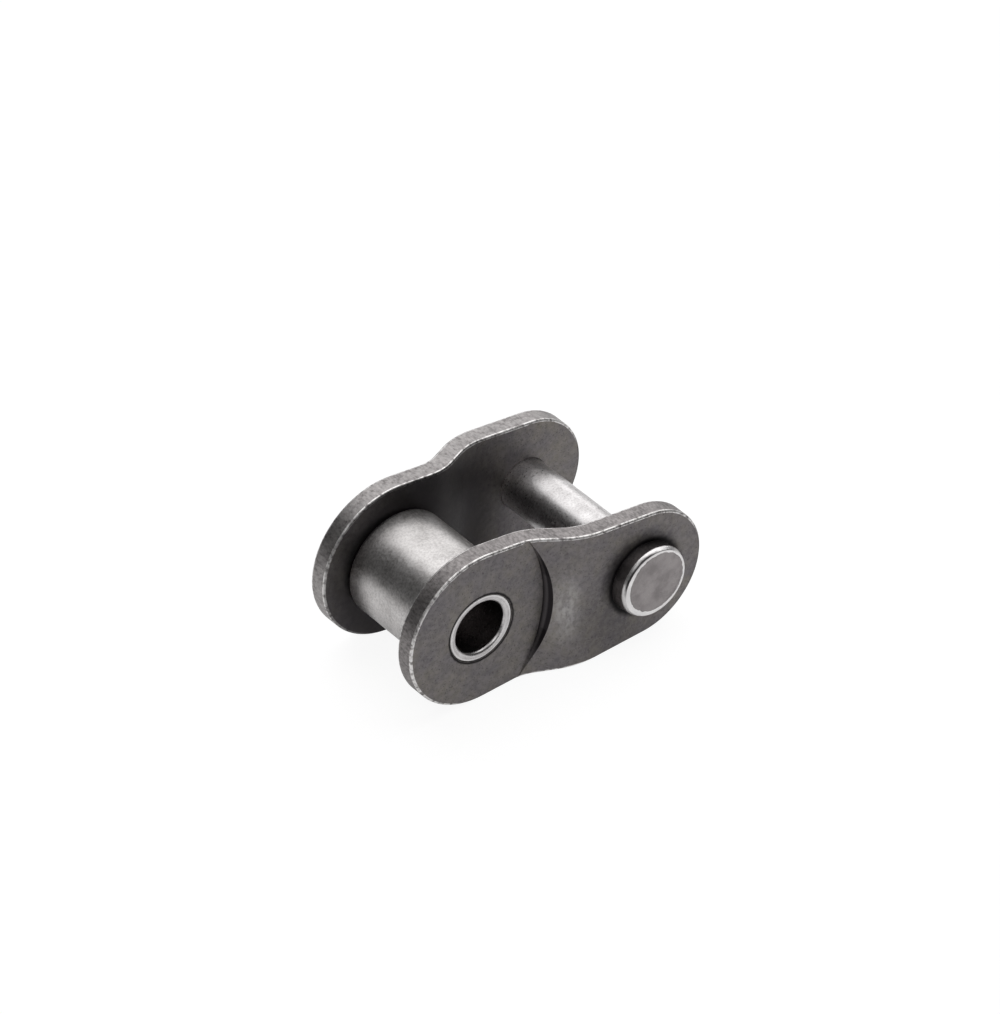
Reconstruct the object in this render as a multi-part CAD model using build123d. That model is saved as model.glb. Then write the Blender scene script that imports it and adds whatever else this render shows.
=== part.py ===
from build123d import *
import os
from math import atan2, cos, radians, sin, sqrt, tan

# Offset link of a half-inch pitch roller chain, in millimetres.
# X runs from the bush to the connecting pin, Y along both of their axes, and Z is up.
# The origin is the middle of the bush's bore.

# The chain's gearing sizes
pitch = 12.7  # from the bush's axis to the pin's axis
inner_gap = 8.12  # between the plates' narrow ends
pin_radius = 1.99
roller_radius = 4.08

# The cranked plates
plate_thickness = 1.45
narrow_end_radius = 6.0  # outline round the bush
wide_end_radius = 5.05  # outline round the pin
next_link_clearance = 0.29  # beside each narrow end of the next link
crank_middle = 5.74  # from the bush's axis, along X
crank_length = 3.46  # between the two bends' corners, along X
narrow_bend_radius = 3.35  # inside of the bend nearer the bush
wide_bend_radius = 5.04  # inside of the bend nearer the pin
plate_edge_chamfer = 0.13  # left by the tumbling barrel
plate_hole_chamfer = 0.07

# The crescent coined into each outer face, which lets the next link's end swing
crescent_clearance = 0.22  # past the next link's wide end, at the crescent's floor
crescent_radius = 9.5  # of the crescent's wall, at the floor
crescent_wall_slope = 16.0  # degrees that the wall leans away from the bush

# The bush and the roller
bush_wall = 0.59
bush_pin_clearance = 0.03  # radial, round the next link's pin
bush_recess = 0.04  # of each bush end below its plate's outer face
bush_outer_chamfer = 0.12
bush_lead_in = 0.3  # chamfer that guides the next link's pin into the bore
bush_roller_clearance = 0.05  # radial
roller_end_clearance = 0.08  # from each plate
roller_rounding = 0.4
roller_bore_chamfer = 0.15

# The connecting pin
pin_head_radius = 2.73
pin_head_height = 1.17
pin_shoulder_width = 0.15  # of the sloped shoulder round the head's face
pin_shoulder_depth = 0.3
pin_ring_width = 0.33  # of the ring left standing inside the shoulder
pin_ring_rise = 0.035  # of that ring above the face inside it
pin_ring_slope = 0.05  # width of the step down from the ring
pin_projection = 2.6  # past the far plate's outer face
pin_end_chamfer = 0.35
split_hole_distance = 1.4  # from the far plate's outer face

# The split pin, folded from half-round wire
split_wire_radius = 0.5  # of the two legs laid together
split_hole_clearance = 0.06  # radial
split_leg_gap = 0.08
split_eye_radius = 0.8  # inside the eye
split_neck_radius = 0.55
split_neck_clearance = 0.15  # from the connecting pin to the neck
split_spread_clearance = 0.25  # from the connecting pin to where the legs turn apart
split_spread_radius = 0.9
split_spread_angle = 28.0
split_long_tip = 1.3
split_short_tip = 0.8

# Sizes that follow
narrow_inner = inner_gap / 2
narrow_outer = narrow_inner + plate_thickness
wide_inner = narrow_outer + next_link_clearance
wide_outer = wide_inner + plate_thickness
crank_angle = atan2(wide_inner - narrow_inner, crank_length)
crescent_reach = wide_end_radius + crescent_clearance
bush_bore_radius = pin_radius + bush_pin_clearance
bush_radius = bush_bore_radius + bush_wall
bush_length = 2 * (narrow_outer - bush_recess)
roller_bore_radius = bush_radius + bush_roller_clearance
roller_length = inner_gap - 2 * roller_end_clearance
split_hole_radius = split_wire_radius + split_hole_clearance
split_pin_y = wide_outer + split_hole_distance

# How far a cutting or trimming shape runs past what it cuts
overrun = 2.0


def outline_face():
    """Plate outline seen along Y: two round ends joined by their common tangents."""
    lean = (narrow_end_radius - wide_end_radius) / pitch
    rise = sqrt(1 - lean**2)
    narrow_x, narrow_z = narrow_end_radius * lean, narrow_end_radius * rise
    wide_x, wide_z = pitch + wide_end_radius * lean, wide_end_radius * rise
    edges = [
        Line((narrow_x, narrow_z), (wide_x, wide_z)),
        ThreePointArc((wide_x, wide_z), (pitch + wide_end_radius, 0), (wide_x, -wide_z)),
        Line((wide_x, -wide_z), (narrow_x, -narrow_z)),
        ThreePointArc((narrow_x, -narrow_z), (-narrow_end_radius, 0), (narrow_x, narrow_z)),
    ]
    return make_face(edges)


def sheet_line(across, narrow_y, wide_y, bend_radii):
    """One face of the cranked sheet seen along Z, across being its offset from mid-sheet."""
    corner_shift = -across * tan(crank_angle / 2)
    narrow_corner = crank_middle - crank_length / 2 + corner_shift
    wide_corner = crank_middle + crank_length / 2 + corner_shift
    return FilletPolyline(
        (-narrow_end_radius - overrun, narrow_y),
        (narrow_corner, narrow_y),
        (wide_corner, wide_y),
        (pitch + wide_end_radius + overrun, wide_y),
        radius=bend_radii,
    )


def sheet_face():
    """Section of the far plate's sheet seen along Z, of one thickness round both bends."""
    half = plate_thickness / 2
    inner_radii = [narrow_bend_radius + plate_thickness, wide_bend_radius]
    outer_radii = [narrow_bend_radius, wide_bend_radius + plate_thickness]
    inner = sheet_line(-half, narrow_inner, wide_inner, inner_radii)
    outer = sheet_line(half, narrow_outer, wide_outer, outer_radii)
    start = Line(inner @ 0, outer @ 0)
    end = Line(inner @ 1, outer @ 1)
    return make_face([*inner.edges(), *outer.edges(), start, end])


def along_y(solid, x, y):
    """Stand a solid made along Z on the point (x, y, 0), running towards +Y."""
    return Pos(x, y, 0) * Rot(X=-90) * solid


def hole_tool(x, radius, low_y, high_y):
    """Cutter for a hole through a plate, with a small chamfer at both mouths."""
    wide, deep = radius + 2 * plate_hole_chamfer, 2 * plate_hole_chamfer
    length = high_y - low_y + 2 * overrun
    bore = along_y(Cylinder(radius, length), x, (low_y + high_y) / 2)
    low_mouth = along_y(Cone(wide, radius, deep), x, low_y)
    high_mouth = along_y(Cone(radius, wide, deep), x, high_y)
    return bore + low_mouth + high_mouth


def crescent_tool():
    """Cutter that carries the narrow end's outer face into the ramp, up to a round wall."""
    depth = wide_outer - narrow_outer + overrun
    mouth_radius = crescent_radius + depth * tan(radians(crescent_wall_slope))
    cone = Cone(crescent_radius, mouth_radius, depth)
    return along_y(cone, crescent_reach - crescent_radius, narrow_outer + depth / 2)


def far_plate():
    """Cranked side plate on the +Y side."""
    height = 2 * (narrow_end_radius + overrun)
    depth = wide_outer + overrun
    sheet = extrude(sheet_face(), amount=height / 2, both=True)
    blank = extrude(Plane.XZ * outline_face(), amount=-depth)
    plate = sheet & blank
    rim = plate.edges().filter_by(Axis.Y, reverse=True).filter_by(Axis.Z, reverse=True)
    plate = chamfer(rim, plate_edge_chamfer)
    plate -= hole_tool(0, bush_radius, narrow_inner, narrow_outer)
    plate -= hole_tool(pitch, pin_radius, wide_inner, wide_outer)
    return plate - crescent_tool()


def near_plate():
    """The other hand of the far plate, on the -Y side."""
    return mirror(far_plate(), about=Plane.XZ)


def turned(section, x):
    """Solid of revolution about the Y line at x, from a section drawn as (radius, y)."""
    return Pos(x, 0, 0) * revolve(section, Axis.Y, 360)


def bush():
    """Plain tube pressed through both plates' narrow ends."""
    middle = (bush_bore_radius + bush_radius) / 2
    section = Pos(middle, 0) * Rectangle(bush_wall, bush_length)
    section = chamfer(section.vertices().group_by(Axis.X)[0], bush_lead_in)
    section = chamfer(section.vertices().group_by(Axis.X)[-1], bush_outer_chamfer)
    return turned(section, 0)


def roller():
    """Loose sleeve that turns on the bush between the plates."""
    wall = roller_radius - roller_bore_radius
    section = Pos(roller_bore_radius + wall / 2, 0) * Rectangle(wall, roller_length)
    section = chamfer(section.vertices().group_by(Axis.X)[0], roller_bore_chamfer)
    section = fillet(section.vertices().group_by(Axis.X)[-1], roller_rounding)
    return turned(section, 0)


def connecting_pin():
    """Headed pin pressed through both wide ends, cross-drilled past the far plate."""
    head_y, end_y = -wide_outer - pin_head_height, wide_outer + pin_projection
    ring_outer = pin_head_radius - pin_shoulder_width
    ring_inner = ring_outer - pin_ring_width
    face_y = head_y + pin_ring_rise
    section = make_face(
        Polyline(
            (0, face_y),
            (ring_inner - pin_ring_slope, face_y),
            (ring_inner, head_y),
            (ring_outer, head_y),
            (pin_head_radius, head_y + pin_shoulder_depth),
            (pin_head_radius, -wide_outer),
            (pin_radius, -wide_outer),
            (pin_radius, end_y - pin_end_chamfer),
            (pin_radius - pin_end_chamfer, end_y),
            (0, end_y),
            close=True,
        )
    )
    hole = Cylinder(split_hole_radius, 2 * (pin_radius + overrun))
    return turned(section, pitch) - Pos(pitch, split_pin_y, 0) * Rot(Y=90) * hole


def split_leg_path(tip_length):
    """Half of the folded wire's inner line: eye, neck, leg and the leg's turned tip."""
    flat = split_leg_gap / 2
    neck_x = pitch - pin_radius - split_neck_clearance
    reach = split_eye_radius + split_neck_radius
    neck_rise = flat + split_neck_radius
    eye_x = neck_x - sqrt(reach**2 - neck_rise**2)
    share = split_eye_radius / reach
    meet = (eye_x + share * (neck_x - eye_x), share * neck_rise)
    eye_far = (eye_x - split_eye_radius, 0)
    eye_top = (eye_x, split_eye_radius)
    spread_x = pitch + pin_radius + split_spread_clearance
    turn = radians(split_spread_angle)
    turned_x = spread_x + split_spread_radius * sin(turn)
    turned_z = flat + split_spread_radius * (1 - cos(turn))
    tip = (turned_x + tip_length * cos(turn), turned_z + tip_length * sin(turn))
    neck_turn = atan2(neck_x - meet[0], neck_rise - meet[1]) / 2
    neck_mid = (
        neck_x - split_neck_radius * sin(neck_turn),
        neck_rise - split_neck_radius * cos(neck_turn),
    )
    spread_mid = (
        spread_x + split_spread_radius * sin(turn / 2),
        flat + split_spread_radius * (1 - cos(turn / 2)),
    )
    return Wire(
        [
            ThreePointArc(eye_far, eye_top, meet),
            ThreePointArc(meet, neck_mid, (neck_x, flat)),
            Line((neck_x, flat), (spread_x, flat)),
            ThreePointArc((spread_x, flat), spread_mid, (turned_x, turned_z)),
            Line((turned_x, turned_z), tip),
        ]
    )


def split_half(tip_length):
    """One leg with half of the eye, its flat side along the path, drawn in the XY plane."""
    path = split_leg_path(tip_length)
    start = Plane(path @ 0, x_dir=(0, 0, 1), z_dir=path % 0)
    disc = Circle(split_wire_radius)
    outer_half = Pos(0, -split_wire_radius) * Rectangle(4 * split_wire_radius, 2 * split_wire_radius)
    return sweep(start * (disc & outer_half), path)


def split_pin():
    """Split pin through the connecting pin, its eye towards the bush."""
    upper = split_half(split_long_tip)
    lower = mirror(split_half(split_short_tip), about=Plane.XZ)
    return Pos(0, split_pin_y, 0) * Rot(X=90) * (upper + lower)


sub_parts = {
    "near_plate": near_plate,
    "far_plate": far_plate,
    "bush": bush,
    "roller": roller,
    "connecting_pin": connecting_pin,
    "split_pin": split_pin,
}

os.makedirs("parts", exist_ok=True)
for node, make in sub_parts.items():
    export_step(make(), f"parts/{node}.step")
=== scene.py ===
from math import atan2, cos, hypot, pi, radians, sin, sqrt, tan

import bmesh
import bpy
from mathutils import Matrix, Vector


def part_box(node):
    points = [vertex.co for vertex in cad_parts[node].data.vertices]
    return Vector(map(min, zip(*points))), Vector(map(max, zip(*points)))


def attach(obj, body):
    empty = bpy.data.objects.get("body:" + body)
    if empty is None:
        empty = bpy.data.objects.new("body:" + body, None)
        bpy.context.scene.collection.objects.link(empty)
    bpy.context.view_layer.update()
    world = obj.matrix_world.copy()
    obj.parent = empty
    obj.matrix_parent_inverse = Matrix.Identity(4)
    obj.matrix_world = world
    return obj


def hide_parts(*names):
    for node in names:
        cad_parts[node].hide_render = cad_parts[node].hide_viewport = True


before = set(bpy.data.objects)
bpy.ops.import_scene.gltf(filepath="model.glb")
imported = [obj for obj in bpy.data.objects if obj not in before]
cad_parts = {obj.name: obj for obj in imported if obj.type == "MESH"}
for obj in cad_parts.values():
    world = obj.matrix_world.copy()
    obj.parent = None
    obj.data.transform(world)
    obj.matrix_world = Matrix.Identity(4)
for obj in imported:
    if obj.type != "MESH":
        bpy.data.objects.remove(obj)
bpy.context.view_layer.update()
print("loaded the packed link, nodes:", ", ".join(sorted(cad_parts)))

# The link's lengths, also those of its looks, are in millimetres. The studio's are in metres.
perMetre = 1000.0


# Sizes read from the packed link's parts

def nodeBox(node):
    low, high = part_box(node)
    return low * perMetre, high * perMetre


bushLow, bushHigh = nodeBox("bush")
rollerLow, rollerHigh = nodeBox("roller")
plateLow, plateHigh = nodeBox("far_plate")
pinLow, pinHigh = nodeBox("connecting_pin")

link = {
    "pitch": (pinLow.x + pinHigh.x) / 2,
    "narrowEnd": -plateLow.x,  # outline radius round the bush
    "wideEnd": plateHigh.x - (pinLow.x + pinHigh.x) / 2,  # outline radius round the pin
    "narrowInner": plateLow.y,
    "wideOuter": plateHigh.y,
    "bushRadius": bushHigh.x,
    "bushEnd": bushHigh.y,
    "rollerRadius": rollerHigh.x,
    "rollerEnd": rollerHigh.y,
    "thickness": 1.45,  # of the plate's sheet
    "pinRadius": 1.99,
    "bushBore": 2.02,
    "rollerBore": 2.66,
}
link["narrowOuter"] = link["narrowInner"] + link["thickness"]
link["wideInner"] = link["wideOuter"] - link["thickness"]


# Mesh helpers

meshWork = {
    "sharpAngle": 48,  # degrees between two faces, from which their edge stays sharp
    "flatWeight": 50,
    "joined": 0.0005,  # corners this near become one after a cut
    "doubled": 0.0001,  # and after a sweep
    "nearby": 0.004,  # how far a circle's corners may lie off it
    "slack": 0.01,  # when a face is told by its place
}


def weighNormals(mesh):  # before the change to metres, because the modifier skips very small faces
    mesh.shade_smooth()
    mesh.set_sharp_from_angle(angle=radians(meshWork["sharpAngle"]))
    blank = bpy.data.objects.new("blank", mesh)
    bpy.context.scene.collection.objects.link(blank)
    weighted = blank.modifiers.new("flatFacesStayFlat", "WEIGHTED_NORMAL")
    weighted.weight, weighted.keep_sharp = meshWork["flatWeight"], True
    worked = blank.evaluated_get(bpy.context.evaluated_depsgraph_get())
    result = bpy.data.meshes.new_from_object(worked)
    bpy.data.objects.remove(blank)
    bpy.data.meshes.remove(mesh)
    return result


def finishPiece(name, bm, body, node, material):
    mesh = bpy.data.meshes.new("blank")
    bm.to_mesh(mesh)
    bm.free()
    mesh = weighNormals(mesh)
    mesh.name = name
    mesh.transform(Matrix.Scale(1 / perMetre, 4))
    mesh.materials.append(material)
    piece = bpy.data.objects.new(name, mesh)
    bpy.context.scene.collection.objects.link(piece)
    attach(piece, body)
    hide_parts(node)
    print("made", name, "with", len(mesh.polygons), "faces")


def cutWith(bm, tool, operation="DIFFERENCE"):
    pair = []
    for part in (bm, tool):
        mesh = bpy.data.meshes.new("blank")
        part.to_mesh(mesh)
        part.free()
        pair.append(bpy.data.objects.new("blank", mesh))
        bpy.context.scene.collection.objects.link(pair[-1])
    cut = pair[0].modifiers.new("cut", "BOOLEAN")
    cut.operation, cut.object, cut.solver = operation, pair[1], "EXACT"
    worked = pair[0].evaluated_get(bpy.context.evaluated_depsgraph_get())
    result = bmesh.new()
    result.from_mesh(worked.to_mesh())
    for part in pair:
        mesh = part.data
        bpy.data.objects.remove(part)
        bpy.data.meshes.remove(mesh)
    bmesh.ops.remove_doubles(result, verts=result.verts, dist=meshWork["joined"])
    bmesh.ops.dissolve_degenerate(result, edges=result.edges, dist=meshWork["joined"])
    return result


def outwards(bm):  # drops the end faces that extrusions left inside, and faces the rest out
    bmesh.ops.remove_doubles(bm, verts=bm.verts, dist=meshWork["doubled"])
    inside = [face for face in bm.faces if all(len(edge.link_faces) > 2 for edge in face.edges)]
    bmesh.ops.delete(bm, geom=inside, context="FACES_ONLY")
    bmesh.ops.recalc_face_normals(bm, faces=bm.faces)
    return bm


def rod(radius, lowY, highY, x, steps, topRadius=None):  # a cylinder or cone along Y
    bm = bmesh.new()
    place = Matrix.Translation((x, (lowY + highY) / 2, 0)) @ Matrix.Rotation(-pi / 2, 4, "X")
    bmesh.ops.create_cone(
        bm, cap_ends=True, segments=steps, radius1=radius, radius2=topRadius or radius,
        depth=highY - lowY, matrix=place,
    )
    return bm


def turned(corners, x, steps):  # corners are (radius, y), and 0 is on the axis
    bm = bmesh.new()
    points = [bm.verts.new((x + radius, y, 0)) for radius, y in corners]
    closed = corners[0][0] > 0
    following = points[1:] + points[:1] if closed else points[1:]
    lines = [bm.edges.new(pair) for pair in zip(points, following)]
    bmesh.ops.spin(
        bm, geom=points + lines, cent=(x, 0, 0), axis=(0, 1, 0), dvec=(0, 0, 0),
        angle=2 * pi, steps=steps, use_merge=True, use_duplicate=False,
    )
    return outwards(bm)


def fromAxis(point, x):  # distance from a line along Y
    return hypot(point.x - x, point.z)


def roundEdges(bm, edges, width, segments, clamp=True):
    return bmesh.ops.bevel(
        bm, geom=edges, offset=width, offset_type="OFFSET", segments=segments, profile=0.5,
        affect="EDGES", clamp_overlap=clamp, material=-1,
    )["faces"]


def roundRing(bm, x, radius, y, width, segments=4):  # rounds one turned corner
    def onRing(vert):
        off = max(abs(fromAxis(vert.co, x) - radius), abs(vert.co.y - y))
        return off < meshWork["nearby"]

    roundEdges(bm, [edge for edge in bm.edges if all(map(onRing, edge.verts))], width, segments)


def faceMasks(bm, *names):  # layers are made before faces are kept, because a new layer drops them
    for name in names:
        if name not in bm.faces.layers.float:
            bm.faces.layers.float.new(name)
    return [bm.faces.layers.float[name] for name in names]


# Shader helpers

def addNode(tree, kind, feeds=None, **settings):
    node = tree.nodes.new(kind)
    for name, value in settings.items():
        setattr(node, name, value)
    for name, value in (feeds or {}).items():
        if isinstance(value, bpy.types.NodeSocket):
            tree.links.new(value, node.inputs[name])
        else:
            node.inputs[name].default_value = value
    return node


def calc(tree, operation, first, second=0.0, third=0.0, clamp=False):
    return addNode(
        tree, "ShaderNodeMath", {0: first, 1: second, 2: third},
        operation=operation, use_clamp=clamp,
    ).outputs[0]


def tone(tree, factor, first, second):  # colour mix
    mixed = addNode(tree, "ShaderNodeMix", {0: factor}, data_type="RGBA")
    for slotNumber, value in ((6, first), (7, second)):  # the Mix node's two colour inputs
        if isinstance(value, bpy.types.NodeSocket):
            tree.links.new(value, mixed.inputs[slotNumber])
        else:
            mixed.inputs[slotNumber].default_value = (*value, 1)
    return mixed.outputs[2]


def span(tree, value, low, high, fromLow=0.0, fromHigh=1.0):  # smooth step to a new range
    return addNode(
        tree, "ShaderNodeMapRange",
        {"Value": value, "From Min": fromLow, "From Max": fromHigh, "To Min": low, "To Max": high},
        interpolation_type="SMOOTHSTEP",
    ).outputs[0]


def noise(tree, place, scale, detail, roughness):
    return addNode(
        tree, "ShaderNodeTexNoise",
        {"Vector": place, "Scale": scale, "Detail": detail, "Roughness": roughness},
    ).outputs[0]


def attributeMask(tree, name):
    return addNode(tree, "ShaderNodeAttribute", attribute_name=name).outputs["Fac"]


def newGroup(name, takes, gives):
    tree = bpy.data.node_groups.new(name, "ShaderNodeTree")
    for label, kind, value in takes:
        socket = tree.interface.new_socket(label, in_out="INPUT", socket_type=kind)
        socket.default_value = value
    for label, kind in gives:
        tree.interface.new_socket(label, in_out="OUTPUT", socket_type=kind)
    return tree, tree.nodes.new("NodeGroupInput").outputs, tree.nodes.new("NodeGroupOutput").inputs


def useGroup(tree, group, feeds):
    return addNode(tree, "ShaderNodeGroup", feeds, node_tree=group).outputs


# Shared surface effects

effects = {
    "clouds": {"Pit": (3.0, 0.65), "Mottle": (2.0, 0.55), "Stain": (4.0, 0.6)},  # detail, roughness
    "cloudRange": (0.3, 0.7),  # of the noise that is stretched to 0 and 1
    "patchNoise": (2.0, 0.6),
    "patchSoftness": 0.16,
    "raggedScale": 2500.0,  # per metre
    "raggedNoise": (2.0, 0.5),
    "markScale": 9000.0,
    "markWaver": 0.03,
    "markRange": (0.35, 0.6),
}


def squeezedPlace(tree, takes):
    place = addNode(tree, "ShaderNodeTexCoord").outputs["Object"]
    return addNode(
        tree, "ShaderNodeVectorMath", {0: place, 1: takes["Squeeze"]}, operation="MULTIPLY"
    ).outputs[0]


def tumbledGrain():  # pits, mottling and cloudy stains of steel from the tumbling barrel
    tree, takes, gives = newGroup(
        "tumbledGrain",
        [("Pit Size", "NodeSocketFloat", 0.0002), ("Mottle Size", "NodeSocketFloat", 0.0005),
         ("Stain Size", "NodeSocketFloat", 0.003), ("Squeeze", "NodeSocketVector", (1, 1, 1))],
        [("Pits", "NodeSocketFloat"), ("Mottle", "NodeSocketFloat"), ("Stains", "NodeSocketFloat"),
         ("Height", "NodeSocketFloat")],
    )
    place = squeezedPlace(tree, takes)
    for label, given in (("Pit", "Pits"), ("Mottle", "Mottle"), ("Stain", "Stains")):
        scale = calc(tree, "DIVIDE", 1.0, takes[label + " Size"])
        cloud = noise(tree, place, scale, *effects["clouds"][label])
        tree.links.new(span(tree, cloud, 0, 1, *effects["cloudRange"]), gives[given])
        if label == "Pit":
            tree.links.new(cloud, gives["Height"])
    return tree


def burnish():  # how far a mask has rubbed bright, broken up by the grain
    tree, takes, gives = newGroup(
        "burnish",
        [("Mask", "NodeSocketFloat", 0.0), ("Break Size", "NodeSocketFloat", 0.0003),
         ("Cover", "NodeSocketFloat", 0.5), ("Squeeze", "NodeSocketVector", (1, 1, 1))],
        [("Bright", "NodeSocketFloat")],
    )
    scale = calc(tree, "DIVIDE", 1.0, takes["Break Size"])
    patches = noise(tree, squeezedPlace(tree, takes), scale, *effects["patchNoise"])
    edge = calc(tree, "SUBTRACT", 1.0, takes["Cover"])
    low = calc(tree, "SUBTRACT", edge, effects["patchSoftness"])
    high = calc(tree, "ADD", edge, effects["patchSoftness"])
    patched = span(tree, patches, 0, 1, low, high)
    tree.links.new(calc(tree, "MULTIPLY", patched, takes["Mask"]), gives["Bright"])
    return tree


def aroundAxis():  # a soft and ragged disc and ring about a line along Y, and fine turning marks
    tree, takes, gives = newGroup(
        "aroundAxis",
        [("Axis X", "NodeSocketFloat", 0.0), ("Axis Z", "NodeSocketFloat", 0.0),
         ("Radius", "NodeSocketFloat", 0.002), ("Reach", "NodeSocketFloat", 0.0003),
         ("Ragged", "NodeSocketFloat", 0.0)],
        [("Disc", "NodeSocketFloat"), ("Ring", "NodeSocketFloat"), ("Marks", "NodeSocketFloat")],
    )
    place = addNode(tree, "ShaderNodeTexCoord").outputs["Object"]
    ragged = noise(tree, place, effects["raggedScale"], *effects["raggedNoise"])
    axes = addNode(tree, "ShaderNodeSeparateXYZ", {0: place}).outputs
    across = calc(tree, "POWER", calc(tree, "SUBTRACT", axes[0], takes["Axis X"]), 2.0)
    up = calc(tree, "POWER", calc(tree, "SUBTRACT", axes[2], takes["Axis Z"]), 2.0)
    distance = calc(tree, "SQRT", calc(tree, "ADD", across, up))
    shift = calc(tree, "MULTIPLY", calc(tree, "SUBTRACT", ragged, 0.5), takes["Ragged"])
    past = calc(tree, "SUBTRACT", calc(tree, "ADD", distance, shift), takes["Radius"])
    share = calc(tree, "DIVIDE", past, takes["Reach"])
    tree.links.new(span(tree, share, 1, 0, -1, 1), gives["Disc"])
    tree.links.new(span(tree, calc(tree, "ABSOLUTE", share), 1, 0), gives["Ring"])
    wavering = calc(tree, "MULTIPLY_ADD", ragged, effects["markWaver"] / perMetre, distance)
    turns = addNode(
        tree, "ShaderNodeTexNoise", {"W": wavering, "Scale": effects["markScale"], "Detail": 1.0},
        noise_dimensions="1D",
    ).outputs[0]
    tree.links.new(span(tree, turns, 0, 1, *effects["markRange"]), gives["Marks"])
    return tree


grainGroup, burnishGroup, axisGroup = tumbledGrain(), burnish(), aroundAxis()


def grainMasks(tree, pit=0.2, mottle=0.5, stain=3.0, squeeze=(1, 1, 1)):
    return useGroup(tree, grainGroup, {
        "Pit Size": pit / perMetre, "Mottle Size": mottle / perMetre,
        "Stain Size": stain / perMetre, "Squeeze": squeeze,
    })


def burnishMask(tree, maskName, breakSize, cover, squeeze=(1, 1, 1)):
    return useGroup(tree, burnishGroup, {
        "Mask": attributeMask(tree, maskName), "Break Size": breakSize / perMetre,
        "Cover": cover, "Squeeze": squeeze,
    })["Bright"]


def axisMask(tree, given, middle=(0, 0), radius=2.0, reach=0.3, ragged=0.0):  # middle is X and Z
    names = ("Axis X", "Axis Z", "Radius", "Reach", "Ragged")
    sizes = (*middle, radius, reach, ragged)
    feeds = {name: size / perMetre for name, size in zip(names, sizes)}
    return useGroup(tree, axisGroup, feeds)[given]


def speckle(tree, grain, pitShare):  # pits and stains in one mask
    stained = calc(tree, "MULTIPLY", grain["Stains"], 1 - pitShare)
    return calc(tree, "MULTIPLY_ADD", grain["Pits"], pitShare, stained)


# Steels

def newSteel(name):
    material = bpy.data.materials.new(name)
    material.use_nodes = True
    tree = material.node_tree
    shader = tree.nodes["Principled BSDF"]
    shader.inputs["Metallic"].default_value = 1.0
    return material, tree, shader


def bumpFrom(tree, shader, height, depth, strength):
    feeds = {"Height": height, "Distance": depth / perMetre, "Strength": strength}
    bump = addNode(tree, "ShaderNodeBump", feeds)
    tree.links.new(bump.outputs[0], shader.inputs["Normal"])


turnedLook = {
    "pitShare": 0.55,
    "pitRoughness": 0.1,
    "bumpDepth": 0.006,
    "bumpStrength": 0.5,
}


def turnedSteel(name, steel, *soils):  # a soil, real or painted shade, is a face mask, two colours and its axis masks
    look = turnedLook
    material, tree, shader = newSteel(name)
    grain = grainMasks(tree, steel["pit"], stain=steel["cloud"])
    colour = tone(tree, speckle(tree, grain, look["pitShare"]), steel["stain"], steel["bright"])
    for maskName, (dark, light), *kept in soils:
        mask = attributeMask(tree, maskName)
        for given in kept:
            mask = calc(tree, "MULTIPLY", mask, axisMask(tree, *given))
        colour = tone(tree, mask, colour, tone(tree, grain["Stains"], dark, light))
    tree.links.new(colour, shader.inputs["Base Color"])
    rough = calc(tree, "MULTIPLY_ADD", grain["Pits"], look["pitRoughness"], steel["roughness"])
    tree.links.new(rough, shader.inputs["Roughness"])
    bumpFrom(tree, shader, grain["Height"], look["bumpDepth"], look["bumpStrength"])
    return material


# Connecting pin's values, which come first because painted shade on the near plate follows its head

pin = {
    "headRadius": 2.73,
    "headHeight": 1.17,
    "headShift": (0.1, 0, 0.02),  # of the upset head off the shank's axis
    "shoulderWidth": 0.15,  # of the slope outside the bright ring
    "shoulderDepth": 0.3,
    "shoulderRound": 0.1,
    "ringWidth": 0.33,
    "ringRise": 0.035,
    "ringSlope": 0.05,
    "ringRound": 0.05,
    "ringSegments": 3,
    "soiledDepth": 0.06,  # of the face's soils
    "fitted": 0.3,  # of the shank past the far plate, where its mesh has one more ring
    "endChamfer": 0.35,
    "crossHole": 0.56,
    "crossHoleFromPlate": 1.4,
    "crossHoleSteps": 48,
    "steps": 128,
    "steel": {
        "bright": (0.9, 0.88, 0.88), "stain": (0.5, 0.48, 0.48), "roughness": 0.27,
        "pit": 0.14, "cloud": 1.1,
    },
    # soils and painted shade, each from the darkest to the lightest
    "wornRim": ((0.82, 0.8, 0.8), (0.97, 0.95, 0.95)),
    # painted shade in the seam outside the bright ring, on one side
    "seamShade": ((0.03, 0.027, 0.029), (0.07, 0.065, 0.067)),
    "smudge": ((0.245, 0.226, 0.227), (0.36, 0.334, 0.335)),
    # painted shadow of the sunk face's step inside the bright ring
    "smudgeEdgeShadow": ((0.08, 0.074, 0.075), (0.3, 0.278, 0.28)),
    # painted shade on the head's side wall
    "shadedWall": ((0.2, 0.185, 0.187), (0.36, 0.333, 0.336)),
    "smudgeShift": (0.19, 0.07),  # of the grey patch inside the ring, towards +X and +Z
    "smudgeSize": (2.29, 0.05, 0.22),  # radius, reach of its edge, raggedness
    "seamGap": 0.03,  # of the seam outside the bright ring
    "seamSize": (0.08, 0.06),  # reach, raggedness
    "seamSide": (-1.8, 1.9),  # where the painted shade lies in the seam, from the head's middle
    "seamSideSize": (1.9, 0.6, 0.6),
}


# Cranked plates

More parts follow.
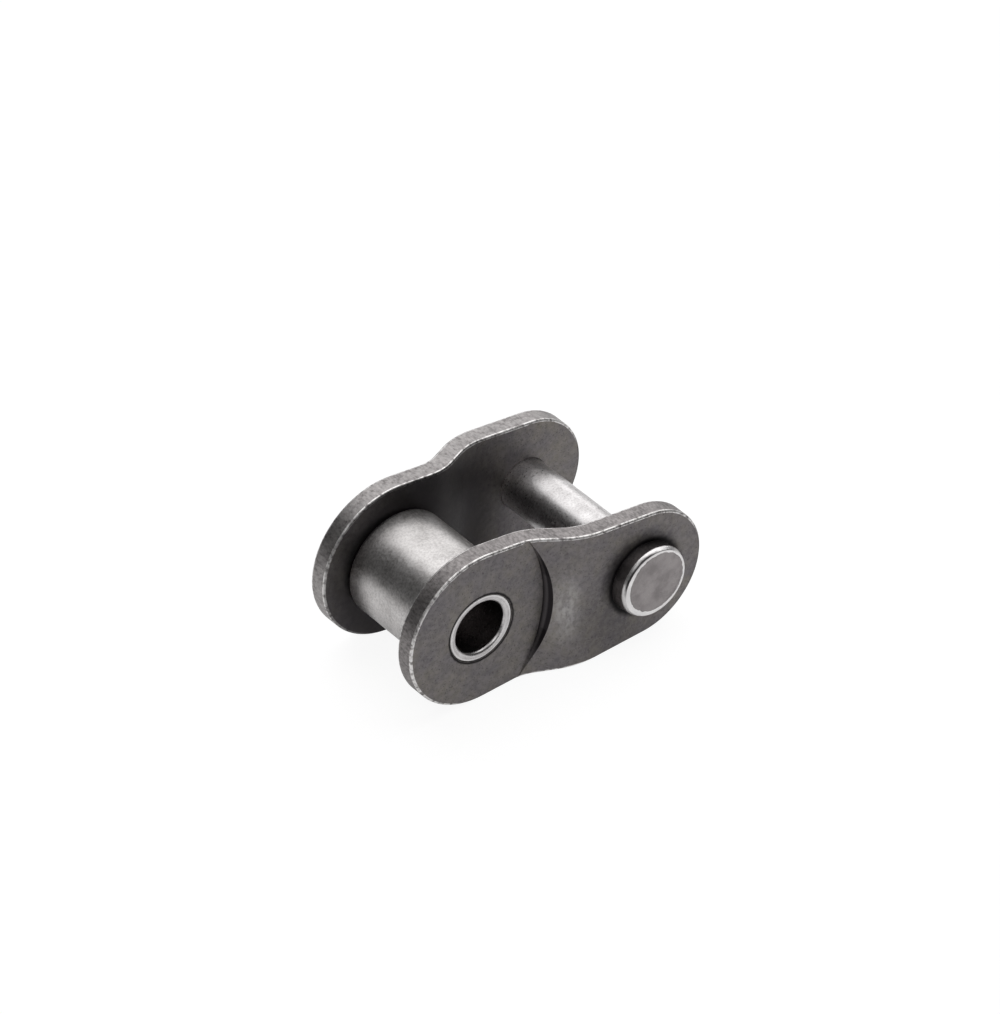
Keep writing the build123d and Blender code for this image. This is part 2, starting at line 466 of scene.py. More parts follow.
plateLook = {
    "face": (0.217, 0.2, 0.202),  # matt, dark from the hardening
    "tan": (0.272, 0.252, 0.22),
    "tints": {  # laid over the face in turn: a colour, and its largest share
        "blue": ((0.187, 0.176, 0.194), 0.7),
        "pale": ((0.42, 0.394, 0.392), 0.28),
        "fleck": ((0.09, 0.082, 0.085), 0.7),
    },
    "fleckRange": (0.3, 0.47),  # of pit height, from full to none
    "innerShadeColour": (0.033, 0.03, 0.032),  # painted shade between the plates, round the roller
    "cut": (0.405, 0.38, 0.376),  # the blanked edge
    "cutStain": (0.15, 0.139, 0.139),
    "bright": (0.9, 0.88, 0.87),
    # painted shade on the coined wall, and painted shadow under its lip
    "coined": (0.095, 0.087, 0.09),
    "lipShadow": (0.026, 0.023, 0.025),
    # the darkest painted shade, in gaps, round the pin's head and on the rim
    "paintedShadeColour": (0.01, 0.009, 0.01),
    "faceRoughness": 0.5,
    "cutRoughness": 0.42,
    "brightRoughness": 0.4,
    "pitRoughness": 0.08,
    "pit": 0.14,
    "mottle": 0.36,
    "stain": 1.1,
    "broadStain": 3.3,
    "bumpDepth": 0.012,
    "bumpStrength": 0.6,
    "cutPit": 0.182,
    "cutSqueeze": (1, 0.5, 1),  # draws the sheared grain out through the sheet
    "cutPitShare": 0.7,
    "footShade": (0.05, 0.3, 0.8),  # painted shade at the coined wall's foot: from, to, share
    "lipShade": (0.4, 0.62, 0.93, 1.0),  # painted shadow under its lip: from, full, full, to
    # painted shade between the plates:
    "innerShade": ((2.6, -1.1), 8.5, 2.8, 1.2),  # middle along X and Z, radius, reach, raggedness
    "innerShadeCover": 0.9,
    # rubbed wear on the rim, with a painted highlight where it faces up or away from the pin
    "rimBreak": 0.36,
    "rimCover": 0.56,
    # painted shade on the rim that faces down or past the pin
    "rimShade": 0.65,
    "bendBreak": 0.3,
    "bendCover": 0.5,
    "bendSqueeze": (1, 1, 0.6),
    "bendBroken": 0.6,  # share of its brightness that the grain breaks up
    "bendShare": 0.36,  # of bright steel where the bend is rubbed most and its painted highlight is strongest
    "bendLow": -0.45,  # middle of the rubbed and highlighted band along Z
    "bendSize": (2.1, 1.9),  # radius, reach
    "bushGapShadow": (0.1, 0.15, 0.1),  # painted shadow in the gap: outside the bush, reach, raggedness
    # painted shade round the pin's head
    "headContactShade": (0.1, 0.7, 0.2),
    "headShadow": (0.45, 0.8, 0.8),  # painted shadow off to one side of the head
    "headShadowShift": (-0.45, 0.35),  # towards +X and +Z
    "headShadowShare": 0.75,
    "wideEndShade": ((10.2, -2.2), 2.5, 2.5, 1.0),  # painted shade over part of the wide end
    "wideEndShadeShare": 0.34,
}
crank = {
    "middle": 5.74,  # from the bush's axis, along X
    "length": 3.46,  # between the bends' corners, along X
    "narrowBend": 3.35,  # inside radius of the bend nearer the bush
    "wideBend": 5.04,
    "stepsPerBend": 18,
    "rubbedAndLit": 6.5,  # where rubbing and a painted highlight brighten the sheet, along X
    "rubbedAndLitReach": (1.9, 1.3),  # towards the bush, towards the pin
    "rimRound": 0.17,
    "rimSegments": 3,
    "shadedRimSide": (0.75, -0.66),  # X and Z that the rim's painted shade faces, where it is unrubbed
    "shadedRimRange": (0.3, 0.6),  # of how squarely it faces there
    "farEdgeRubbed": 0.18,  # share of bright steel on the far plate's blanked edge
    "mouthRound": 0.07,
    "mouthSegments": 2,
    "holeSteps": (96, 80),  # for the bush, for the pin
    "spare": 2.0,  # that a blank or a tool runs past the plate
    "outlineSteps": 160,
    "straight": 0.5,  # degrees below which the outline's corners are dropped
}
crescent = {
    "reach": 5.27,  # of its floor from the bush's axis
    "radius": 10.6,
    "lift": 0.2,  # of its axis above the bush's
    "slope": 16.0,  # degrees that the wall leans away from the bush
    "floorGap": 0.002,  # keeps its floor off the plate's own face
    "shallow": (0.15, 0.48),  # wall heights between which its painted shade builds up
    "steps": 320,
}
crescent["axisX"] = crescent["reach"] - crescent["radius"]
crescent["floor"] = link["narrowOuter"] + crescent["floorGap"]


def plateSteel():
    look = plateLook
    material, tree, shader = newSteel("plateSteel")
    grain = grainMasks(tree, look["pit"], look["mottle"], look["stain"])
    cutEdge, bright = attributeMask(tree, "cutEdge"), rubbedAndLitSteel(tree)
    colour = tone(tree, cutEdge, coinedWallShade(tree, hardenedFace(tree, grain)), blankedEdge(tree))
    colour = tone(tree, bright, colour, look["bright"])
    colour = tone(tree, innerShade(tree), colour, look["innerShadeColour"])
    colour = tone(tree, paintedShade(tree), colour, look["paintedShadeColour"])
    tree.links.new(colour, shader.inputs["Base Color"])
    rough = span(tree, cutEdge, look["faceRoughness"], look["cutRoughness"])
    rough = calc(tree, "MULTIPLY_ADD", grain["Pits"], look["pitRoughness"], rough)
    smoother = look["brightRoughness"] - look["faceRoughness"]
    rough = calc(tree, "MULTIPLY_ADD", bright, smoother, rough)
    tree.links.new(rough, shader.inputs["Roughness"])
    bumpFrom(tree, shader, grain["Height"], look["bumpDepth"], look["bumpStrength"])
    return material


def hardenedFace(tree, grain):
    broad = grainMasks(tree, stain=plateLook["broadStain"])
    masks = {
        "blue": broad["Stains"],
        "pale": grain["Mottle"],
        "fleck": span(tree, grain["Height"], 1, 0, *plateLook["fleckRange"]),
    }
    face = tone(tree, grain["Stains"], plateLook["face"], plateLook["tan"])
    for name, (tint, most) in plateLook["tints"].items():
        face = tone(tree, calc(tree, "MULTIPLY", masks[name], most), face, tint)
    return face


def coinedWallShade(tree, face):  # painted shade on the coined wall, darkest where it is deep
    wall, deep = attributeMask(tree, "coinedWall"), attributeMask(tree, "wallDeep")
    shaded = tone(tree, wallShade(tree), plateLook["coined"], plateLook["lipShadow"])
    return tone(tree, calc(tree, "MULTIPLY", wall, deep), face, shaded)


def wallShade(tree):  # painted shade in the coined wall's foot, and a deeper painted shadow under its lip
    rise = attributeMask(tree, "wallRise")
    footFrom, footTo, footShare = plateLook["footShade"]
    lipFrom, lipFull, lipEnds, lipTo = plateLook["lipShade"]
    footShade = calc(tree, "MULTIPLY", span(tree, rise, 1, 0, footFrom, footTo), footShare)
    rising = span(tree, rise, 0, 1, lipFrom, lipFull)
    falling = span(tree, rise, 1, 0, lipEnds, lipTo)
    return calc(tree, "MAXIMUM", footShade, calc(tree, "MULTIPLY", rising, falling))


def blankedEdge(tree):
    look = plateLook
    shear = grainMasks(tree, look["cutPit"], stain=look["stain"], squeeze=look["cutSqueeze"])
    return tone(tree, speckle(tree, shear, look["cutPitShare"]), look["cutStain"], look["cut"])


def rubbedAndLitSteel(tree):  # rubbed wear and painted highlight: on the rounded rim, and on the bend that stands proudest
    look = plateLook
    rim = burnishMask(tree, "rubbedAndLitRim", look["rimBreak"], look["rimCover"])
    patchy = (look["bendBreak"], look["bendCover"], look["bendSqueeze"])
    broken = calc(tree, "MULTIPLY", burnishMask(tree, "rubbedAndLitBend", *patchy), look["bendBroken"])
    band = attributeMask(tree, "rubbedAndLitBend")
    bend = calc(tree, "MULTIPLY_ADD", band, 1 - look["bendBroken"], broken)
    patch = axisMask(tree, "Disc", (crank["rubbedAndLit"], look["bendLow"]), *look["bendSize"])
    sheet = calc(tree, "SUBTRACT", look["bendShare"], attributeMask(tree, "coinedWall"), clamp=True)
    worn = calc(tree, "MULTIPLY", calc(tree, "MULTIPLY", bend, patch), sheet)
    return calc(tree, "MAXIMUM", rim, worn)


def innerShade(tree):  # painted shade that thins out away from the bush, on the plates' inner sides only
    innerDisc = axisMask(tree, "Disc", *plateLook["innerShade"])
    shadowed = calc(tree, "MULTIPLY", innerDisc, attributeMask(tree, "innerSide"))
    return calc(tree, "MULTIPLY", shadowed, plateLook["innerShadeCover"])


def paintedShade(tree):  # painted shade in the gap round the bush's end, round the pin's head and on the rim
    gap, reach, ragged = plateLook["bushGapShadow"]
    bushGapShadow = axisMask(tree, "Ring", (0, 0), link["bushRadius"] + gap, reach, ragged)
    rimShading = calc(tree, "MULTIPLY", attributeMask(tree, "shadedRim"), plateLook["rimShade"])
    return calc(tree, "MAXIMUM", calc(tree, "MAXIMUM", bushGapShadow, headShade(tree)), rimShading)


# painted shade and shadow round the pin's head, and over part of the wide end
def headShade(tree):
    look = plateLook
    gap, reach, ragged = look["headContactShade"]
    contactShade = axisMask(tree, "Ring", (link["pitch"], 0), pin["headRadius"] + gap, reach, ragged)
    gap, reach, ragged = look["headShadow"]
    shiftX, shiftZ = look["headShadowShift"]
    middle = (link["pitch"] + shiftX, shiftZ)
    castShadow = axisMask(tree, "Disc", middle, pin["headRadius"] + gap, reach, ragged)
    castShadow = calc(tree, "MULTIPLY", castShadow, look["headShadowShare"])
    wideEndShade = calc(tree, "MULTIPLY", axisMask(tree, "Disc", *look["wideEndShade"]), look["wideEndShadeShare"])
    headShading = calc(tree, "MAXIMUM", contactShade, calc(tree, "MAXIMUM", castShadow, wideEndShade))
    return calc(tree, "MULTIPLY", headShading, attributeMask(tree, "headSide"))


def sweepEnd(made):  # the end face of the last extrusion or spin
    return [item for item in made if isinstance(item, bmesh.types.BMFace)]


def runOn(bm, end, step):
    made = bmesh.ops.extrude_face_region(bm, geom=end)["geom"]
    corners = [item for item in made if isinstance(item, bmesh.types.BMVert)]
    bmesh.ops.translate(bm, vec=step, verts=corners)
    return sweepEnd(made)


def bendOn(bm, end, centre, axis, angle, steps):
    made = bmesh.ops.spin(
        bm, geom=end, cent=centre, axis=axis, dvec=(0, 0, 0), angle=angle, steps=steps,
        use_merge=False, use_duplicate=False,
    )["geom_last"]
    return sweepEnd(made)


def crankLines():  # where the sheet's bends start, and how far they lean
    half = link["thickness"] / 2
    angle = atan2(link["wideInner"] - link["narrowInner"], crank["length"])
    narrowMid, wideMid = crank["narrowBend"] + half, crank["wideBend"] + half
    firstX = crank["middle"] - crank["length"] / 2 - narrowMid * tan(angle / 2)
    secondX = crank["middle"] + crank["length"] / 2 + wideMid * tan(angle / 2)
    ramp = crank["length"] / cos(angle) - (narrowMid + wideMid) * tan(angle / 2)
    return angle, firstX, secondX, ramp


def crankedSheet():  # the far plate's sheet before blanking: run, bend, ramp, bend back, run
    angle, firstX, secondX, ramp = crankLines()
    startX = -link["narrowEnd"] - crank["spare"]
    endX = link["pitch"] + link["wideEnd"] + crank["spare"]
    tall = 2 * (link["narrowEnd"] + crank["spare"])
    steps, up = crank["stepsPerBend"], (0, 0, 1)
    bm = bmesh.new()
    place = Matrix.Translation((startX, link["narrowInner"] + link["thickness"] / 2, 0))
    section = Matrix.Rotation(pi / 2, 4, "Y") @ Matrix.Diagonal((tall, link["thickness"], 1, 1))
    bmesh.ops.create_grid(bm, x_segments=1, y_segments=1, size=0.5, matrix=place @ section)
    end = runOn(bm, bm.faces[:], (firstX - startX, 0, 0))
    end = bendOn(bm, end, (firstX, link["narrowOuter"] + crank["narrowBend"], 0), up, angle, steps)
    end = runOn(bm, end, (ramp * cos(angle), ramp * sin(angle), 0))
    end = bendOn(bm, end, (secondX, link["wideInner"] - crank["wideBend"], 0), up, -angle, steps)
    runOn(bm, end, (endX - secondX, 0, 0))
    return outwards(bm)


def rampHeight(x):  # of the outer face above the narrow end's, as far as the second bend
    angle, firstX, _, _ = crankLines()
    bend = crank["narrowBend"]
    over = max(0.0, x - firstX)
    if over < bend * sin(angle):
        return bend - sqrt(bend**2 - over**2)
    return bend * (1 - cos(angle)) + (over - bend * sin(angle)) * tan(angle)


def blankingPunch():  # two round ends and their common tangents
    bm = bmesh.new()
    turnUp = Matrix.Rotation(pi / 2, 4, "X")
    for x, radius in ((0, link["narrowEnd"]), (link["pitch"], link["wideEnd"])):
        for y in (link["narrowInner"] - crank["spare"], link["wideOuter"] + crank["spare"]):
            place = Matrix.Translation((x, y, 0)) @ turnUp
            bmesh.ops.create_circle(bm, segments=crank["outlineSteps"], radius=radius, matrix=place)
    bmesh.ops.delete(bm, geom=bm.edges[:], context="EDGES_FACES")
    hull = bmesh.ops.convex_hull(bm, input=bm.verts[:])
    inside = {item for item in hull["geom_interior"] if isinstance(item, bmesh.types.BMVert)}
    bmesh.ops.delete(bm, geom=list(inside), context="VERTS")
    straight = radians(crank["straight"])
    bmesh.ops.dissolve_limit(bm, angle_limit=straight, verts=bm.verts, edges=bm.edges)
    return outwards(bm)


def blankedPlate():  # the sheet cut to its outline, with the rim rounded
    bm = cutWith(crankedSheet(), blankingPunch(), "INTERSECT")
    cutLayer, rimLayer, shadedRimLayer = faceMasks(bm, "cutEdge", "rubbedAndLitRim", "shadedRim")
    bm.normal_update()
    for face in bm.faces:
        face[cutLayer] = float(abs(face.normal.y) < 0.1)
    rim = [edge for edge in bm.edges if len({face[cutLayer] for face in edge.link_faces}) == 2]
    rounded = roundEdges(bm, rim, crank["rimRound"], crank["rimSegments"], clamp=False)
    bm.normal_update()
    for face in rounded:
        shadedShare = rimShadeShare(face)
        face[rimLayer], face[shadedRimLayer], face[cutLayer] = 1 - shadedShare, shadedShare, 0.5
    return bm


def rimShadeShare(face):  # painted shade: none where the rim is rubbed and lit, full where it faces down or past the pin
    squarely = Vector((face.normal.x, face.normal.z)).normalized().dot(Vector(crank["shadedRimSide"]))
    low, high = crank["shadedRimRange"]
    return min(1.0, max(0.0, (squarely - low) / (high - low)))


def roundMouth(bm, x, radius):
    def onMouth(edge):
        first, second = edge.verts
        off = max(abs(fromAxis(vert.co, x) - radius) for vert in edge.verts)
        return off < meshWork["nearby"] and abs(first.co.y - second.co.y) < 0.001

    mouths = [edge for edge in bm.edges if onMouth(edge)]
    roundEdges(bm, mouths, crank["mouthRound"], crank["mouthSegments"])


def pierced(bm):  # the holes that the bush and the pin are pressed into
    spare = crank["spare"]
    bushSteps, pinSteps = crank["holeSteps"]
    holes = [
        (0, link["bushRadius"], link["narrowInner"], link["narrowOuter"], bushSteps),
        (link["pitch"], link["pinRadius"], link["wideInner"], link["wideOuter"], pinSteps),
    ]
    for x, radius, inner, outer, steps in holes:
        bm = cutWith(bm, rod(radius, inner - spare, outer + spare, x, steps))
    for x, radius, *_ in holes:
        roundMouth(bm, x, radius)
    return bm


def coined(bm):  # the crescent that the next link's wide end swings past
    floor, radius = crescent["floor"], crescent["radius"]
    depth = link["wideOuter"] - floor + crank["spare"]
    mouth = radius + depth * tan(radians(crescent["slope"]))
    die = rod(radius, floor, floor + depth, crescent["axisX"], crescent["steps"], mouth)
    bmesh.ops.translate(die, vec=(0, 0, crescent["lift"]), verts=die.verts)
    return cutWith(bm, die)


def markCrescent(bm):
    bm.normal_update()
    [layer] = faceMasks(bm, "coinedWall")
    rise, deep = (bm.verts.layers.float.new(name) for name in ("wallRise", "wallDeep"))
    shallow, full = crescent["shallow"]
    floor, radius, lean = crescent["floor"], crescent["radius"], tan(radians(crescent["slope"]))

    def onCone(vert):
        away = hypot(vert.co.x - crescent["axisX"], vert.co.z - crescent["lift"]) - radius
        return abs(away - (vert.co.y - floor) * lean) < meshWork["slack"]

    for vert in bm.verts:
        height = rampHeight(vert.co.x)
        vert[rise] = min(1.0, max(0.0, (vert.co.y - floor) / max(height, meshWork["slack"])))
        vert[deep] = min(1.0, max(0.0, (height - shallow) / (full - shallow)))
    for face in bm.faces:
        face[layer] = float(all(map(onCone, face.verts)) and abs(face.normal.y) < 0.5)


def markFacing(bm, name, value):  # on the faces that look towards -Y
    [layer] = faceMasks(bm, name)
    bm.normal_update()
    for face in bm.faces:
        face[layer] = value if face.normal.y < -0.5 else 0.0


def markBend(bm):  # the ramp just before the proud bend is rubbed most, and carries the strongest painted highlight
    layer = bm.verts.layers.float.new("rubbedAndLitBend")
    for vert in bm.verts:
        past = vert.co.x - crank["rubbedAndLit"]
        near = max(0.0, 1 - abs(past) / crank["rubbedAndLitReach"][past > 0])
        vert[layer] = near * near * (3 - 2 * near)  # a smooth step


def rubCutEdge(bm, share):
    cutLayer, rimLayer = faceMasks(bm, "cutEdge", "rubbedAndLitRim")
    for face in bm.faces:
        if face[cutLayer] == 1.0:
            face[rimLayer] = share


def crankedPlate():
    bm = coined(pierced(blankedPlate()))
    markCrescent(bm)
    markFacing(bm, "innerSide", 1.0)
    markBend(bm)
    return bm


def mirrored(bm):  # the other hand, for the -Y side
    bmesh.ops.scale(bm, vec=(1, -1, 1), verts=bm.verts)
    bmesh.ops.reverse_faces(bm, faces=bm.faces)
    return bm


plateMaterial = plateSteel()
farPlate = crankedPlate()
nearPlate = mirrored(farPlate.copy())
markFacing(farPlate, "headSide", 0.0)
markFacing(nearPlate, "headSide", 1.0)
rubCutEdge(farPlate, crank["farEdgeRubbed"])
finishPiece("farPlate", farPlate, "link", "far_plate", plateMaterial)
finishPiece("nearPlate", nearPlate, "link", "near_plate", plateMaterial)


# Bush and roller

bush = {
    "outerRound": 0.1,
    "leadIn": 0.3,
    "leadInSegments": 6,
    "steps": 128,
    "steel": {
        "bright": (0.97, 0.95, 0.95), "stain": (0.8, 0.78, 0.78), "roughness": 0.26,
        "pit": 0.12, "cloud": 1.4,
    },
    # painted shade inside the bore
    "shadedBore": ((0.2, 0.186, 0.186), (0.27, 0.25, 0.25)),
    "groundEnd": ((0.5, 0.48, 0.48), (0.74, 0.72, 0.72)),  # grey in the turning marks
}
roller = {
    "outerRound": 0.4,
    "outerSegments": 8,
    "boreRound": 0.15,
    "steps": 160,
    "steel": {
        "bright": (0.82, 0.798, 0.79), "stain": (0.38, 0.362, 0.355), "roughness": 0.3,
        "pit": 0.16, "cloud": 2.2,
    },
}


def tube(inner, outer, end, steps):
    return turned([(inner, -end), (outer, -end), (outer, end), (inner, end)], 0, steps)


def makeBush():
    inner, outer, end = link["bushBore"], link["bushRadius"], link["bushEnd"]
    bm = tube(inner, outer, end, bush["steps"])
    for side in (-end, end):
        roundRing(bm, 0, outer, side, bush["outerRound"])
        roundRing(bm, 0, inner, side, bush["leadIn"], bush["leadInSegments"])
    boreLayer, groundLayer = faceMasks(bm, "shadedBore", "groundEnd")
    for face in bm.faces:
        away = fromAxis(face.calc_center_median(), 0)
        face[boreLayer] = float(away < inner + meshWork["slack"])
        face[groundLayer] = 1.0 - face[boreLayer]
    ground = ("groundEnd", bush["groundEnd"], ("Marks",))
    shadowed = ("shadedBore", bush["shadedBore"])
    material = turnedSteel("bushSteel", bush["steel"], ground, shadowed)
    finishPiece("pressedBush", bm, "link", "bush", material)


def makeRoller():
    inner, outer, end = link["rollerBore"], link["rollerRadius"], link["rollerEnd"]
    bm = tube(inner, outer, end, roller["steps"])
    for side in (-end, end):
        roundRing(bm, 0, outer, side, roller["outerRound"], roller["outerSegments"])
        roundRing(bm, 0, inner, side, roller["boreRound"])
    material = turnedSteel("rollerSteel", roller["steel"])
    finishPiece("turningRoller", bm, "roller", "roller", material)


makeBush()
makeRoller()


# Connecting pin

pin["seat"] = -link["wideOuter"]  # where the head meets the near plate
pin["face"] = pin["seat"] - pin["headHeight"]
pin["shoulder"] = pin["face"] + pin["shoulderDepth"]
pin["ringOuter"] = pin["headRadius"] - pin["shoulderWidth"]


def turnedPin():
    x, shank, head, end = link["pitch"], link["pinRadius"], pin["headRadius"], pinHigh.y
    face, sunk, ringOuter = pin["face"], pin["face"] + pin["ringRise"], pin["ringOuter"]
    ringInner, chamfer = ringOuter - pin["ringWidth"], pin["endChamfer"]
    bm = turned([
        (0, sunk), (ringInner - pin["ringSlope"], sunk), (ringInner, face), (ringOuter, face),
        (head, pin["shoulder"]), (head, pin["seat"]), (shank, pin["seat"]),
        (shank, link["wideOuter"] + pin["fitted"]), (shank, end - chamfer), (shank - chamfer, end),
        (0, end),
    ], x, pin["steps"])
    roundRing(bm, x, ringOuter, face, pin["ringRound"], pin["ringSegments"])
    roundRing(bm, x, head, pin["shoulder"], pin["shoulderRound"], pin["ringSegments"])
    upset = [vert for vert in bm.verts if vert.co.y < pin["seat"] - meshWork["slack"]]
    bmesh.ops.translate(bm, vec=pin["headShift"], verts=upset)
    return bm


def crossDrilled(bm):
    place = Matrix.Translation((link["pitch"], link["wideOuter"] + pin["crossHoleFromPlate"], 0))
    drill = bmesh.new()
    bmesh.ops.create_cone(
        drill, cap_ends=True, segments=pin["crossHoleSteps"], radius1=pin["crossHole"],
        radius2=pin["crossHole"], depth=4 * link["pinRadius"],
        matrix=place @ Matrix.Rotation(pi / 2, 4, "Y"),
    )
    return cutWith(bm, drill)


def markHead(bm):
    frontLayer, wallLayer, rimLayer = faceMasks(bm, "headFace", "headWall", "headRim")
    sunk = pin["face"] + pin["soiledDepth"]
    edge = pin["shoulder"] + pin["shoulderRound"] / 2
    for part in bm.faces:
        centre = part.calc_center_median()
        within = fromAxis(centre, link["pitch"]) < pin["ringOuter"]
        part[frontLayer] = float(centre.y < sunk and within)
        part[wallLayer] = float(edge < centre.y < pin["seat"])
        part[rimLayer] = float(centre.y <= edge)


def headSoilsAndShade():
    shiftX, shiftZ = pin["smudgeShift"]
    smudge = ((link["pitch"] + shiftX, shiftZ), *pin["smudgeSize"])
    headX, headZ = link["pitch"] + pin["headShift"][0], pin["headShift"][2]
    seam = ((headX, headZ), pin["ringOuter"] + pin["seamGap"], *pin["seamSize"])
    sideX, sideZ = pin["seamSide"]
    seamSide = ((headX + sideX, headZ + sideZ), *pin["seamSideSize"])
    return [
        ("headRim", pin["wornRim"]),
        ("headRim", pin["seamShade"], ("Ring", *seam), ("Disc", *seamSide)),
        ("headFace", pin["smudge"], ("Disc", *smudge)),
        ("headFace", pin["smudgeEdgeShadow"], ("Ring", *smudge)),
        ("headWall", pin["shadedWall"]),
    ]


def makePin():
    bm = crossDrilled(turnedPin())
    markHead(bm)
    material = turnedSteel("pinSteel", pin["steel"], *headSoilsAndShade())
    finishPiece("headedPin", bm, "link", "connecting_pin", material)


makePin()


# Split pin, folded from half-round wire

splitPin = {
    "wire": 0.5,  # radius of the two legs laid together
    "legGap": 0.08,
    "eye": 0.8,  # radius inside the eye
    "neck": 0.55,
    "neckClearance": 0.15,
    "spreadClearance": 0.25,
    "spreadRadius": 0.9,
    "spreadAngle": 28.0,
    "longTip": 1.3,
    "shortTip": 0.8,
    "steps": 28,
    "bendSteps": (32, 12, 10),  # of the eye, the neck and the spread
    "steel": {
        "bright": (0.6, 0.585, 0.56), "stain": (0.45, 0.44, 0.42), "roughness": 0.33,
        "pit": 0.1, "cloud": 1.5,
    },
}


def halfWire(x, y):
    bm = bmesh.new()
    bmesh.ops.create_circle(
        bm, cap_ends=True, segments=splitPin["steps"], radius=splitPin["wire"],
        matrix=Matrix.Translation((x, y, 0)),
    )
    bmesh.ops.bisect_plane(
        bm, geom=bm.verts[:] + bm.edges[:] + bm.faces[:], plane_co=(x, y, 0), plane_no=(1, 0, 0),
        clear_outer=True, dist=meshWork["doubled"],
    )
    return bm


def splitLeg(tip):
    shape = splitPin
    y = link["wideOuter"] + pin["crossHoleFromPlate"]
    flat = shape["legGap"] / 2
    neckX = link["pitch"] - link["pinRadius"] - shape["neckClearance"]
    reach, rise = shape["eye"] + shape["neck"], flat + shape["neck"]
    eyeX = neckX - sqrt(reach**2 - rise**2)
    lean = atan2(rise, neckX - eyeX)
    spreadX = link["pitch"] + link["pinRadius"] + shape["spreadClearance"]
    turn = radians(shape["spreadAngle"])
    eyeSteps, neckSteps, spreadSteps = shape["bendSteps"]
    across = (0, 1, 0)
    bm = halfWire(eyeX - shape["eye"], y)
    end = bendOn(bm, bm.faces[:], (eyeX, y, 0), across, pi - lean, eyeSteps)
    end = bendOn(bm, end, (neckX, y, rise), across, lean - pi / 2, neckSteps)
    end = runOn(bm, end, (spreadX - neckX, 0, 0))
    end = bendOn(bm, end, (spreadX, y, flat + shape["spreadRadius"]), across, -turn, spreadSteps)
    runOn(bm, end, (tip * cos(turn), 0, tip * sin(turn)))
    middle = [face for face in bm.faces if all(abs(vert.co.z) < 0.001 for vert in face.verts)]
    bmesh.ops.delete(bm, geom=middle, context="FACES_ONLY")  # where the other leg is joined on
    return bm


def makeSplitPin():
    upper, lower = splitLeg(splitPin["longTip"]), splitLeg(splitPin["shortTip"])
    bmesh.ops.scale(lower, vec=(1, 1, -1), verts=lower.verts)
    carried = bpy.data.meshes.new("lowerLeg")
    lower.to_mesh(carried)
    lower.free()
    upper.from_mesh(carried)
    bpy.data.meshes.remove(carried)
    outwards(upper)
    material = turnedSteel("splitPinSteel", splitPin["steel"])
    finishPiece("foldedSplitPin", upper, "link", "split_pin", material)


makeSplitPin()


# Studio: a pale floor under the resting link, three soft lamps and a dim room

studio = {
    "floorColour": (0.9, 0.9, 0.9),
    "floorFalloffShade": (0.2, 0.2, 0.2),  # painted falloff: the paper darkens where it leaves the lamps' light
    "litFrom": 0.02,  # metres from the link
    "litTo": 0.14,
    "floorSize": 6.0,  # metres
    "floorSeen": 0.9,  # how white the camera sees it before the lamps are added
    "floorShadow": 0.2,  # share of the lamps' light, and of the link's shadow, that it sees
    "floorMirrored": 0.35,  # how white the metal's reflections show the floor by the link
    "roomMirrored": 0.03,
    "roomLow": 0.03,
    "roomHigh": 0.4,
    "roomRange": (0.5, 0.95),  # from the horizon up, between which the room grows lighter
    "lamps": {
        # place in metres, size in metres, radiance
        "overheadBox": ((0.12, 0.12, 0.3), (0.6, 0.6), 1.0),
        "backBox": ((0.4, 0.26, 0.12), (0.34, 0.26), 0.8),
        "frontBox": ((-0.42, -0.52, 0.5), (0.62, 0.46), 0.9),
    },
}


def rayKinds(tree):  # seen by the camera, and seen in metal or glass
    rays = addNode(tree, "ShaderNodeLightPath").outputs
    glossy = calc(tree, "MAXIMUM", rays["Is Glossy Ray"], rays["Is Transmission Ray"])
    return rays["Is Camera Ray"], glossy


def restingPlane():  # the plane under both ends, whose radii differ
    lean = (link["narrowEnd"] - link["wideEnd"]) / link["pitch"]
    up = Vector((-lean, 0, sqrt(1 - lean**2)))
    return up, -up * link["narrowEnd"] / perMetre


def floorPaper():
    material = bpy.data.materials.new("paleFloor")
    material.use_nodes = True
    tree = material.node_tree
    tree.nodes.clear()
    place = addNode(tree, "ShaderNodeTexCoord").outputs["Object"]
    away = addNode(tree, "ShaderNodeVectorMath", {0: place}, operation="LENGTH").outputs["Value"]
    far = span(tree, away, 0, 1, studio["litFrom"], studio["litTo"])
    camera, glossy = rayKinds(tree)
    paper = tone(tree, far, studio["floorColour"], studio["floorFalloffShade"])
    lit = addNode(tree, "ShaderNodeBsdfDiffuse", {"Color": paper}).outputs[0]
    nearby = calc(tree, "MULTIPLY", span(tree, far, studio["floorMirrored"], 0.0), glossy)
    white = addNode(tree, "ShaderNodeEmission", {"Strength": 1.0}).outputs[0]
    reflected = addNode(tree, "ShaderNodeMixShader", {0: nearby, 1: lit, 2: white}).outputs[0]
    shadow = tone(tree, far, [studio["floorShadow"]] * 3, (0, 0, 0))
    dimmed = addNode(tree, "ShaderNodeBsdfDiffuse", {"Color": shadow}).outputs[0]
    strength = span(tree, far, studio["floorSeen"], 1.0)
    glow = addNode(tree, "ShaderNodeEmission", {"Strength": strength}).outputs[0]
    seen = addNode(tree, "ShaderNodeAddShader", {0: dimmed, 1: glow}).outputs[0]
    mixed = addNode(tree, "ShaderNodeMixShader", {0: camera, 1: reflected, 2: seen})
    addNode(tree, "ShaderNodeOutputMaterial", {"Surface": mixed.outputs[0]})
    return material


def makeFloor():
    up, touch = restingPlane()
    place = Matrix.Translation(touch) @ up.to_track_quat("Z", "Y").to_matrix().to_4x4()
    half = studio["floorSize"] / 2
    bm = bmesh.new()
    bmesh.ops.create_grid(bm, x_segments=1, y_segments=1, size=half, matrix=place)
    mesh = bpy.data.meshes.new("paleFloor")
    bm.to_mesh(mesh)
    bm.free()
    mesh.materials.append(floorPaper())
    floor = bpy.data.objects.new("paleFloor", mesh)
    bpy.context.scene.collection.objects.link(floor)


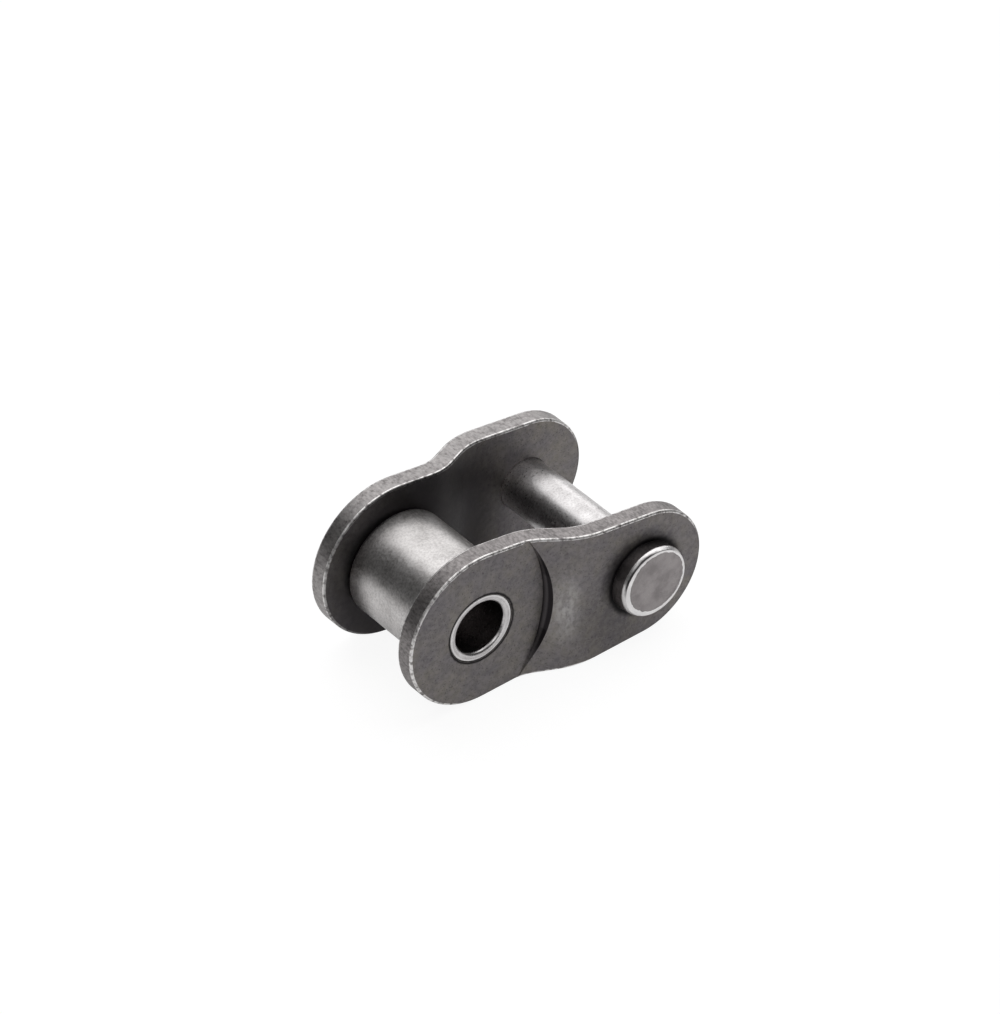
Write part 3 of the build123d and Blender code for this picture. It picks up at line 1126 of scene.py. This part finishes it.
def makeRoom():
    world = bpy.data.worlds.new("studioRoom")
    bpy.context.scene.world = world
    world.use_nodes = True
    tree = world.node_tree
    tree.nodes.clear()
    around = addNode(tree, "ShaderNodeTexCoord").outputs["Generated"]
    height = addNode(tree, "ShaderNodeSeparateXYZ", {0: around}).outputs[2]
    level = span(tree, height, studio["roomLow"], studio["roomHigh"], *studio["roomRange"])
    white = (1, 1, 1, 1)
    dim = addNode(tree, "ShaderNodeBackground", {"Color": white, "Strength": level}).outputs[0]
    full = addNode(tree, "ShaderNodeBackground", {"Color": white, "Strength": 1.0}).outputs[0]
    camera, glossy = rayKinds(tree)
    seen = calc(tree, "MAXIMUM", camera, calc(tree, "MULTIPLY", glossy, studio["roomMirrored"]))
    mixed = addNode(tree, "ShaderNodeMixShader", {0: seen, 1: dim, 2: full})
    addNode(tree, "ShaderNodeOutputWorld", {"Surface": mixed.outputs[0]})


def makeLamps():
    for name, (place, size, radiance) in studio["lamps"].items():
        lamp = bpy.data.lights.new(name, "AREA")
        lamp.shape, lamp.size, lamp.size_y = "RECTANGLE", *size
        lamp.energy = radiance * pi * size[0] * size[1]
        holder = bpy.data.objects.new(name, lamp)
        holder.location = place
        holder.rotation_euler = (-Vector(place)).to_track_quat("-Z", "Y").to_euler()
        bpy.context.scene.collection.objects.link(holder)


photoCamera = {
    "place": (-0.18877, -0.2295, 0.22412),
    "turn": (53.8162, -2.4115, -38.5216),  # degrees
    "lens": 195.328,  # mm
    "sensor": 36.0,  # mm, along the picture's long side
    "clip": (0.01, 20.0),
}


def makeCamera():
    data = bpy.data.cameras.new("photoCamera")
    data.lens, data.sensor_width = photoCamera["lens"], photoCamera["sensor"]
    data.clip_start, data.clip_end = photoCamera["clip"]
    holder = bpy.data.objects.new("photoCamera", data)
    holder.location = photoCamera["place"]
    holder.rotation_euler = [radians(value) for value in photoCamera["turn"]]
    bpy.context.scene.collection.objects.link(holder)
    bpy.context.scene.camera = holder


makeFloor()
makeRoom()
makeLamps()
makeCamera()
bpy.context.scene.view_settings.view_transform = "Standard"
print("made the floor, room, lamps and camera")
